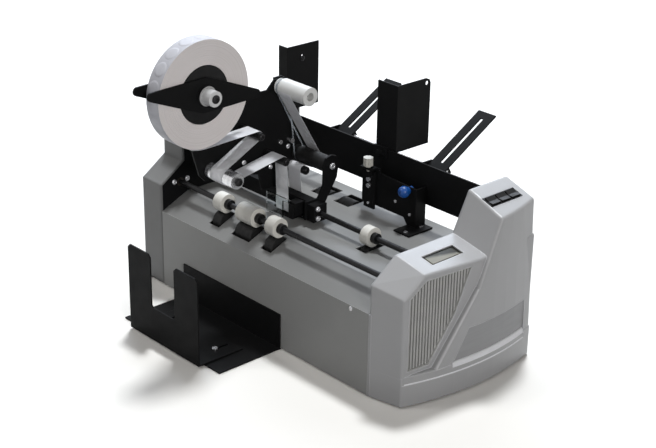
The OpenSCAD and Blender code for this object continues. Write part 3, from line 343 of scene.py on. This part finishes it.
(Mat("roll_paper", (0.965, 0.94, 0.935), 0.6, spec=0.3).vary((0.955, 0.93, 0.92), 30, hi=0.75)
 .vary((0.93, 0.905, 0.895), 260, amount=0.3, lo=0.55).rings(pos(WEB_X, *ROLL), 520, (0.89, 0.86, 0.85), 0.55)
 .gloss(60, 0.06).grain(1400, 0.12, 0.0002).done())
liner("liner_paper", (0.93, 0.93, 0.94), 0.4, (0.89, 0.89, 0.905), (0.85, 0.85, 0.86))
tab_stock("tab_paper", (0.955, 0.955, 0.965), 0.4, (0.88, 0.88, 0.90))
# on the wound roll the liner and tabs are darker copies of the threaded web's papers, painted shade, so its rim is a
# little darker than the threaded web
liner("rim_liner_shaded", (0.80, 0.80, 0.825), 0.3, (0.77, 0.77, 0.795), (0.74, 0.74, 0.765))
tab_stock("rim_tab_shaded", (0.82, 0.82, 0.845), 0.3, (0.78, 0.78, 0.805))

# display: pale below and dark above, the dark part a painted shadow of the window's recess, parted along a slanting
# line through the window's middle
SLANT, PALE_SIDE, SHADOW_SIDE = (100, -22, 0), 0.15, -0.45
lo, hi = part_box("display_window")
middle = sum(s * (a + b) / 2 for s, a, b in zip(SLANT, lo, hi))
(Mat("display_glass", (0.56, 0.55, 0.51), 0.38, spec=0.12)
 .beyond(SLANT, middle + PALE_SIDE, middle + SHADOW_SIDE, (0.20, 0.20, 0.19)).vary((0.48, 0.48, 0.44), 120, amount=0.3)
 .gloss(90, 0.04).grain(500, 0.03, 0.0002).done())

# the roll's knob: a dark flange next to the arm and a white grip
GRIP_X, FLANGE_X = -0.0664, -0.0666
(Mat("knob_white", (0.91, 0.91, 0.91), 0.38).bevel(0.0012).vary((0.84, 0.84, 0.84), 60)
 .beyond((1, 0, 0), GRIP_X, FLANGE_X, (0.07, 0.07, 0.072))
 .gloss(80, 0.06).grain(900, 0.06, 0.0003, turned(0.2)).done())


def smooth(mesh, angle):
    """Smooth shading that keeps edges sharper than an angle in degrees."""
    for name in ("custom_normal", "sharp_edge", "sharp_face"):
        attribute = mesh.attributes.get(name)
        if attribute is not None:
            mesh.attributes.remove(attribute)
    mesh.shade_smooth()
    mesh.set_sharp_from_angle(angle=math.radians(angle))


# every CAD node takes its slot's material, apart from those painted in one of their own
CAD_ANGLE = 28
PAINT = {"front_panel": "front_grey_shaded_top", "rear_panel": "panel_grey", "left_housing": "housing_grey",
         "roll_knob": "knob_white"}
slot_of = {s["node"]: s["material_slot"] for s in frame["record"]["subparts"]}
for name, obj in nodes.items():
    obj.data.materials.clear()
    obj.data.materials.append(M[PAINT.get(name, slot_of[name])])
    smooth(obj.data, CAD_ANGLE)


def piece(name, verts, faces, body, slot, angle, mats=None, index=None):
    """A new mesh that rides on a body. mats names its materials, else it takes its slot's, and index says which
    of them each face has."""
    mesh = bpy.data.meshes.new(name)
    mesh.from_pydata([tuple(v) for v in verts], [], faces)
    mesh.validate()
    work = bmesh.new()
    work.from_mesh(mesh)
    bmesh.ops.recalc_face_normals(work, faces=work.faces)
    work.to_mesh(mesh)
    work.free()
    for mat in mats or [slot]:
        mesh.materials.append(M[mat])
    if index:
        mesh.polygons.foreach_set("material_index", index)
    smooth(mesh, angle)
    ob = bpy.data.objects.new(name, mesh)
    scene.collection.objects.link(ob)
    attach(ob, body)
    return ob


def strip(count, outer):
    """Faces of a closed strip through count sections of four points, with material 0, or outer on the third side."""
    faces, index = [], []
    for k in range(count - 1):
        for c in range(4):
            a, b = 4 * k + c, 4 * k + (c + 1) % 4
            faces.append((a, b, b + 4, a + 4))
            index.append(outer if c == 2 else 0)
    last = 4 * (count - 1)
    return faces + [(3, 2, 1, 0), (last, last + 1, last + 2, last + 3)], index + [0, 0]


# a round tab: rings of points at its top height, then one at its foot
TAB_RINGS, TAB_FOOT_R, TAB_MAT = (4.5, 9.0, 12.9), 13.2, 1


def add_tab(verts, faces, index, at, count, top, foot):
    """Adds a tab with count points to a ring, where at gives the point that lies along, across and off the strip."""
    base = len(verts)
    verts.append(at(0, 0, top))
    rings = [(r, top) for r in TAB_RINGS] + [(TAB_FOOT_R, foot)]
    for r, h in rings:
        verts += [at(r * math.cos(TURN * k / count), r * math.sin(TURN * k / count), h) for k in range(count)]
    for k in range(count):
        k2 = (k + 1) % count
        tab = [(base, base + 1 + k, base + 1 + k2)]
        for q in range(len(rings) - 1):
            inner, outer = base + 1 + q * count, base + 1 + (q + 1) * count
            tab.append((inner + k, outer + k, outer + k2, inner + k2))
        faces += tab
        index += [TAB_MAT] * len(tab)


# the web's path: each place that it passes, its inner radius there and the way that it turns
PATH = [(ROLL, ROLL_R + GAP, 1), (POST_1, POST_R, -1), (DANCER, DANCER_R + GAP, 1), (POST_2, POST_R, -1),
        (PEEL_IN, PEEL_R, 1), (PEEL_OUT, PEEL_R, 1), (POST_3, POST_R, -1), (DRIVE, DRIVE_R + GAP, 1),
        (SPOOL, SPOOL_R + GAP, -1)]
ROLL_WRAP, SPOOL_WRAP, END_STEPS = math.radians(20), math.radians(24), 6
LEAST_STEPS, STEPS_PER_RADIAN = 6, 9


def seg_angle(i):
    """The heading, in radians, of the straight run from place i to the next."""
    (a, ra, ta), (b, rb, tb) = PATH[i], PATH[i + 1]
    dy, dz = b[0] - a[0], b[1] - a[1]
    k = tb * (rb + WEB_T / 2) - ta * (ra + WEB_T / 2)
    return math.atan2(dz, dy) - math.asin(k / math.hypot(dy, dz))


def web_line():
    """Points (y, z, normal) along the web's face that lies on the roll. The normals cross its thickness."""
    out = []
    for i, (c, r, t) in enumerate(PATH):
        if i == 0:
            e = seg_angle(0) - QUARTER * t
            angles = [e - ROLL_WRAP * (1 - k / END_STEPS) for k in range(END_STEPS + 1)]
        elif i == len(PATH) - 1:
            s = seg_angle(i - 1) - QUARTER * t
            angles = [s - SPOOL_WRAP * k / END_STEPS for k in range(END_STEPS + 1)]
        else:
            s = seg_angle(i - 1) - QUARTER * t
            e = seg_angle(i) - QUARTER * t
            w = (t * (e - s)) % TURN
            n = max(LEAST_STEPS, int(w * STEPS_PER_RADIAN))
            angles = [s + t * w * k / n for k in range(n + 1)]
        reach = r if t > 0 else r + WEB_T
        for a in angles:
            u = (math.cos(a), math.sin(a))
            out.append((c[0] + reach * u[0], c[1] + reach * u[1], (t * u[0], t * u[1])))
    return out


line = web_line()
dist = [0.0]
for p, q in zip(line, line[1:]):
    dist.append(dist[-1] + math.hypot(q[0] - p[0], q[1] - p[1]))


def on_web(s, x, h):
    """The point that lies s along the web, at x across it and h off the face that web_line follows."""
    s = min(max(s, 0), dist[-1])
    j = 0
    while j < len(dist) - 2 and dist[j + 1] < s:
        j += 1
    f = (s - dist[j]) / max(dist[j + 1] - dist[j], 1e-9)
    p, q = line[j], line[j + 1]
    ny = p[2][0] + f * (q[2][0] - p[2][0])
    nz = p[2][1] + f * (q[2][1] - p[2][1])
    m = math.hypot(ny, nz) or 1.0
    return pos(x, p[0] + f * (q[0] - p[0]) + h * ny / m, p[1] + f * (q[1] - p[1]) + h * nz / m)


# the threaded web: a thin liner, trimmed on the right to stay clear as the roll turns, with tabs up to where they
# peel off
LINER_TRIM = 0.5
LINER_LEFT, LINER_RIGHT = WEB_X - WEB_W / 2, WEB_X + (WEB_W / 2 - LINER_TRIM)
LINER_IN, LINER_OUT, WEB_TAB_TOP = 0.02, 0.36, 0.56
WEB_STEPS, WEB_TAB_POINTS, WEB_ANGLE = 260, 40, 50
FIRST_TAB, TAB_SPACING, TAB_CLEAR, PEEL_REACH = 10.0, 29.5, 12, 4
stops = sorted(set(dist) | {dist[-1] * k / WEB_STEPS for k in range(WEB_STEPS + 1)})
section = ((LINER_LEFT, LINER_IN), (LINER_RIGHT, LINER_IN), (LINER_RIGHT, LINER_OUT), (LINER_LEFT, LINER_OUT))
verts = [on_web(s, x, h) for s in stops for x, h in section]
faces, index = strip(len(stops), outer=0)
peel_s = next(d for d, p in zip(dist, line) if math.hypot(p[0] - PEEL_IN[0], p[1] - PEEL_IN[1]) < PEEL_REACH)
tab_s = FIRST_TAB
while tab_s < peel_s - TAB_CLEAR:
    add_tab(verts, faces, index, lambda u, v, h: on_web(tab_s + u, WEB_X + v, h), WEB_TAB_POINTS,
            WEB_TAB_TOP, LINER_OUT)
    tab_s += TAB_SPACING
web = piece("web_ribbon", verts, faces, "frame", "roll_paper", WEB_ANGLE, ("liner_paper", "tab_paper"), index)
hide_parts("tab_web")

# the tab roll: one thin strip wound in TURNS turns of STEPS steps, its edges a little uneven from turn to turn, with
# tabs on the outermost turn, placed by degrees back from the strip's end
random.seed(7)
TURNS, STEPS, ROLL_ANGLE = 48, 72, 40
CORE_CLEAR, RIM_CLEAR, TURN_GAP, UNEVEN = 0.35, 0.7, 0.06, 0.22
ROLL_TRIM_LEFT, ROLL_TRIM_RIGHT, ROLL_TAB_SHIFT = 0.15, 0.45, -0.15
ROLL_LEFT, ROLL_RIGHT = -WEB_W / 2 + ROLL_TRIM_LEFT, WEB_W / 2 - ROLL_TRIM_RIGHT
ROLL_TAB_TOP, ROLL_TAB_POINTS, ROLL_TAB_DEGREES = 0.2, 36, range(8, 346, 20)
first_r = CORE_R + CORE_CLEAR
pitch = (ROLL_R - RIM_CLEAR - first_r) / (TURNS + 1)
end = seg_angle(0) - QUARTER
shift = [UNEVEN * (random.random() - 0.5) for _ in range(TURNS + 2)]
count = TURNS * STEPS


def round_roll(x, r, a):
    """The point at a radius and an angle about the roll's axis, x from the web's middle."""
    return pos(WEB_X + x, ROLL[0] + r * math.cos(a), ROLL[1] + r * math.sin(a))


def on_roll(a, x, h):
    """The point at an angle on the outermost turn, x across it and h off its outer face."""
    back = (end - a) / TURN
    return round_roll(ROLL_TAB_SHIFT + x, first_r + pitch * (TURNS - back) + pitch - TURN_GAP + h, a)


verts = []
for k in range(count + 1):
    a = end - (count - k) * TURN / STEPS
    inner = first_r + pitch * k / STEPS
    outer = inner + pitch - TURN_GAP
    t, f = divmod(k / STEPS, 1.0)
    dx = shift[int(t)] * (1 - f) + shift[int(t) + 1] * f
    for r, x in ((inner, ROLL_LEFT), (inner, ROLL_RIGHT), (outer, ROLL_RIGHT), (outer, ROLL_LEFT)):
        verts.append(round_roll(x + dx, r, a))
faces, index = strip(count + 1, outer=2)
for degrees in ROLL_TAB_DEGREES:
    tab_a = end - math.radians(degrees)
    add_tab(verts, faces, index, lambda u, v, h: on_roll(tab_a + u / ROLL_R, v, h), ROLL_TAB_POINTS, ROLL_TAB_TOP, 0.0)
winding = piece("roll_winding", verts, faces, "roll", "roll_paper", ROLL_ANGLE,
                ("roll_paper", "rim_tab_shaded", "rim_liner_shaded"), index)
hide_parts("tab_roll")


# screw heads, in shares of a head's radius and height: an upright rim, a dome, and a cross or hex sunk in it
HEAD_POINTS, HEAD_LEVELS, HEAD_ANGLE, HEAD_RIM = 48, 12, 30, 0.35
CROSS_HALF, CROSS_REACH, HEX_REACH = 0.13, 0.62, 0.46
SINK, SINK_ABOVE, SINK_FLOOR = 0.55, 0.6, 0.45
HEAD_PROFILE = [(1.0, 0.0), (1.0, HEAD_RIM)] + [
    (math.cos(QUARTER * k / HEAD_LEVELS), HEAD_RIM + (1 - HEAD_RIM) * math.sin(QUARTER * k / HEAD_LEVELS))
    for k in range(1, HEAD_LEVELS)]


def in_recess(u, v, hexed):
    """Whether a place on a head's round lies in its hex or cross."""
    if hexed:
        return max(abs(u * math.cos(math.pi / 3 * q) + v * math.sin(math.pi / 3 * q)) for q in range(3)) < HEX_REACH
    return min(abs(u), abs(v)) < CROSS_HALF and max(abs(u), abs(v)) < CROSS_REACH


def screw_head(verts, faces, x, y, z, r, h, turn, hexed=False, rear=False):
    """Adds a head of radius r and height h that stands on x, y, z along +X, or along +Y for rear."""
    def at(up, a, b):
        return pos(x + a, y + up, z + b) if rear else pos(x + up, y + a, z + b)

    n, base = HEAD_POINTS, len(verts)
    ca, sa = math.cos(turn), math.sin(turn)
    for out, up in HEAD_PROFILE:
        for k in range(n):
            u, v = out * math.cos(TURN * k / n), out * math.sin(TURN * k / n)
            level = up - SINK if up > SINK_ABOVE and in_recess(u, v, hexed) else up
            verts.append(at(h * level, r * (u * ca - v * sa), r * (u * sa + v * ca)))
    top, foot = len(verts), len(verts) + 1
    verts += [at(h * SINK_FLOOR, 0, 0), at(0, 0, 0)]
    last = base + (len(HEAD_PROFILE) - 1) * n
    for low in range(base, last, n):
        for k in range(n):
            k2 = (k + 1) % n
            faces.append((low + k, low + k2, low + n + k2, low + n + k))
    for k in range(n):
        k2 = (k + 1) % n
        faces.append((last + k, last + k2, top))
        faces.append((base + k2, base + k, foot))


def screws(name, body, slot, heads, rear=False):
    """One piece of several heads, each given as (x, y, z, radius, height, turn), and True where it has a hex."""
    verts, faces = [], []
    for head in heads:
        screw_head(verts, faces, *head, rear=rear)
    piece(name, verts, faces, body, slot, HEAD_ANGLE)


# faces that the heads stand on, just clear of the part's own solids
POST_END, DANCER_END, ROLL_END, SPOOL_END = WEB_RIGHT + 7.05, WEB_RIGHT + 29.05, WEB_RIGHT + 29.2, WEB_RIGHT + 19.55
LEFT_PLATE_X, END_PLATE_X, HEAD_PLATE_X = -548, -290, -380
BLOCK_X, SCREW_STEP, BOLT_STEP, CLEAR = END_PLATE_X + 21, 3.42, 7.02, 0.03

posts = [(POST_END, *post, 5.6, 3.6, 0.5 + i) for i, post in enumerate((POST_1, POST_2, POST_3))]
axles = [(DANCER_END, *DANCER, 6.2, 3.4, 0.3), (ROLL_END, *ROLL, 7.4, 4.2, 0.2, True),
         (SPOOL_END, *SPOOL, 5.4, 2.6, 0.9)]
screws("head_screws", "frame", "dark_steel", posts + axles)

left_plate = [(LEFT_PLATE_X + SCREW_STEP, y, 200, 3.8, 1.2, y) for y in (29, 59)]
end_block = [(BLOCK_X + SCREW_STEP, y, z, 3.7, 1.2, y) for y, z in ((132, 208), (132.5, 190))]
drive_bolt = [(END_PLATE_X + BOLT_STEP, *DRIVE, 5.6, 1.6, 0.4, True)]
head_plate = [(HEAD_PLATE_X + CLEAR, y, z, 4.6, 2.8, y) for y, z in ((159, 287), (118, 258), (57, 281))]
screws("bright_screw_tops", "frame", "bright_steel", left_plate + end_block + drive_bolt + head_plate)

REAR_XS, REAR_INSET = (-505, -274, -40), 22
lo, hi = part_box("rear_panel")
rear_y = hi[1] * MM_PER_M + MY
rear_zs = (lo[2] * MM_PER_M + REAR_INSET, hi[2] * MM_PER_M - REAR_INSET)
rear_heads = [(x, rear_y + CLEAR, z, 4.2, 2.0, i + z) for i, x in enumerate(REAR_XS) for z in rear_zs]
screws("rear_panel_screws", "frame", "bright_steel", rear_heads, rear=True)

# moulded lines of the control end, swept along its flank, which bows outward most at FLANK_Y
FLANK_X, FLANK_Y, FLANK_BOW, SWEEP_ANGLE = 94, 182, 0.00104, 50


def sweep(name, profile, start, length, steps, mat):
    """A closed section, given as (out from the bowed flank, height), carried along Y."""
    verts, faces, n = [], [], len(profile)
    for k in range(steps + 1):
        y = start + length * k / steps
        flank = FLANK_X - FLANK_BOW * (y - FLANK_Y) ** 2
        verts += [pos(flank + d, y, z) for d, z in profile]
    for i in range(0, n * steps, n):
        for c in range(n):
            d = (c + 1) % n
            faces.append((i + c, i + d, i + n + d, i + n + c))
    faces += [tuple(range(n - 1, -1, -1)), tuple(range(n * steps, n * (steps + 1)))]
    piece(name, verts, faces, "frame", "body_grey", SWEEP_ANGLE, [mat])


# a bead along the top of the base band, bright as a painted highlight on the band's edge
HIGHLIGHT_BEAD = [(-2.05, 43.2), (-0.9, 43.0), (-0.4, 42.5), (-0.35, 41.0), (-2.05, 40.2)]
sweep("band_highlight_bead", HIGHLIGHT_BEAD, start=19, length=284, steps=48, mat="highlight_edge_grey")
# the sill of the name recess, rounded as a quarter of an ellipse, with two points behind it; its brighter grey is a
# painted highlight
LIP_STEPS, LIP_OUT, LIP_Z, LIP_WIDE, LIP_HIGH = 12, -6.3, 50.6, 5.2, 8.6
LIP_BACK = [(-2.5, 50.4), (-6.5, 57.0)]
lip = [(LIP_OUT + LIP_WIDE * math.sin(QUARTER * k / LIP_STEPS), LIP_Z + LIP_HIGH * math.cos(QUARTER * k / LIP_STEPS))
       for k in range(LIP_STEPS + 1)]
sweep("name_sill_lip", lip + LIP_BACK, start=109, length=180, steps=40, mat="highlight_lip_grey")

# the screw in the left guide's slot, behind the guide's front edge and below its top
GUIDE_X, GUIDE_Y, GUIDE_TOP = -522, 280.4, 412
SLOT_CLEAR, SLOT_BACK, SLOT_DOWN = 0.05, 38, 27
screws("guide_slot_screw", "guide_left", "dark_steel",
       [(GUIDE_X + SLOT_CLEAR, GUIDE_Y + SLOT_BACK, GUIDE_TOP - SLOT_DOWN, 5.2, 2.6, 0.7)])

# a pale floor that keeps the shadow: camera and gloss see FLOOR_TONE, and little of it lights the part from below
FLOOR_SHADE, FLOOR_TONE, FLOOR_GLOW = (0.24, 0.24, 0.24, 1), (1.0, 0.975, 0.93, 1), 0.01
FLOOR_ROUGH, FLOOR_HALF, FLOOR_DROP = 0.9, 30, 0.0005
WHITE = (1, 1, 1, 1)


def larger(tree, a, b):
    return add_node(tree, "ShaderNodeMath", {0: a, 1: b}, operation="MAXIMUM").outputs[0]


floor_mat = bpy.data.materials.new("floor")
floor_mat.use_nodes = True
tree = floor_mat.node_tree
rays = add_node(tree, "ShaderNodeLightPath", {}).outputs
seen = larger(tree, rays["Is Camera Ray"], rays["Is Glossy Ray"])
tone = add_node(tree, "ShaderNodeMix", {"Factor": seen, "A": FLOOR_SHADE, "B": FLOOR_TONE}, data_type="RGBA")
glow = add_node(tree, "ShaderNodeMath", {0: rays["Is Camera Ray"], 1: FLOOR_GLOW}, operation="MULTIPLY")
feed(tree, tree.nodes["Principled BSDF"],
     {"Base Color": tone.outputs["Result"], "Roughness": FLOOR_ROUGH, "Specular IOR Level": 0.0,
      "Emission Color": WHITE, "Emission Strength": glow.outputs[0]})
floor_mesh = bpy.data.meshes.new("floor")
corners = [(x * FLOOR_HALF, y * FLOOR_HALF, 0) for x, y in ((-1, -1), (1, -1), (1, 1), (-1, 1))]
floor_mesh.from_pydata(corners, [], [(0, 1, 2, 3)])
floor_mesh.materials.append(floor_mat)
floor = bpy.data.objects.new("floor", floor_mesh)
floor.location.z = -FLOOR_DROP
scene.collection.objects.link(floor)

# a white world as camera, gloss and glass see it, and a dim fill for the rest
WORLD_FILL = 0.12
world = bpy.data.worlds.new("studio")
scene.world = world
world.use_nodes = True
tree = world.node_tree
rays = add_node(tree, "ShaderNodeLightPath", {}).outputs
seen = larger(tree, larger(tree, rays["Is Camera Ray"], rays["Is Glossy Ray"]), rays["Is Transmission Ray"])
strength = add_node(tree, "ShaderNodeMapRange", {"Value": seen, "To Min": WORLD_FILL, "To Max": 1.0})
feed(tree, tree.nodes["Background"], {"Color": WHITE, "Strength": strength.outputs["Result"]})


def light(name, kind, aim, energy, color, **settings):
    """A lamp that shines along aim."""
    data = bpy.data.lights.new(name, kind)
    data.energy = energy
    data.color = color
    for key, value in settings.items():
        setattr(data, key, value)
    lamp = bpy.data.objects.new(name, data)
    lamp.rotation_mode = "QUATERNION"
    lamp.rotation_quaternion = Vector(aim).to_track_quat("-Z", "Y")
    scene.collection.objects.link(lamp)
    return lamp


# soft suns from above, from the control end and from the front left, and a pale blue softbox behind on the left
SUNS = [("overhead", (0.22, -0.29, -1.0), 2.14, (0.94, 0.97, 1.0), 8),
        ("side", (-1.0, 0.35, -0.35), 1.12, (1.0, 0.99, 0.98), 14),
        ("front", (0.42, 0.525, -0.741), 0.4, (1.0, 1.0, 1.0), 10)]
for name, aim, energy, color, degrees in SUNS:
    light(name, "SUN", aim, energy, color, angle=math.radians(degrees))
BOX_AT, BOX_TARGET = Vector((-1.45, 1.4, 1.85)), Vector((0.1, 0, 0.2))
softbox = light("softbox", "AREA", BOX_TARGET - BOX_AT, energy=40, color=(0.78, 0.87, 1.0),
                shape="RECTANGLE", size=2.4, size_y=0.8)
softbox.location = BOX_AT
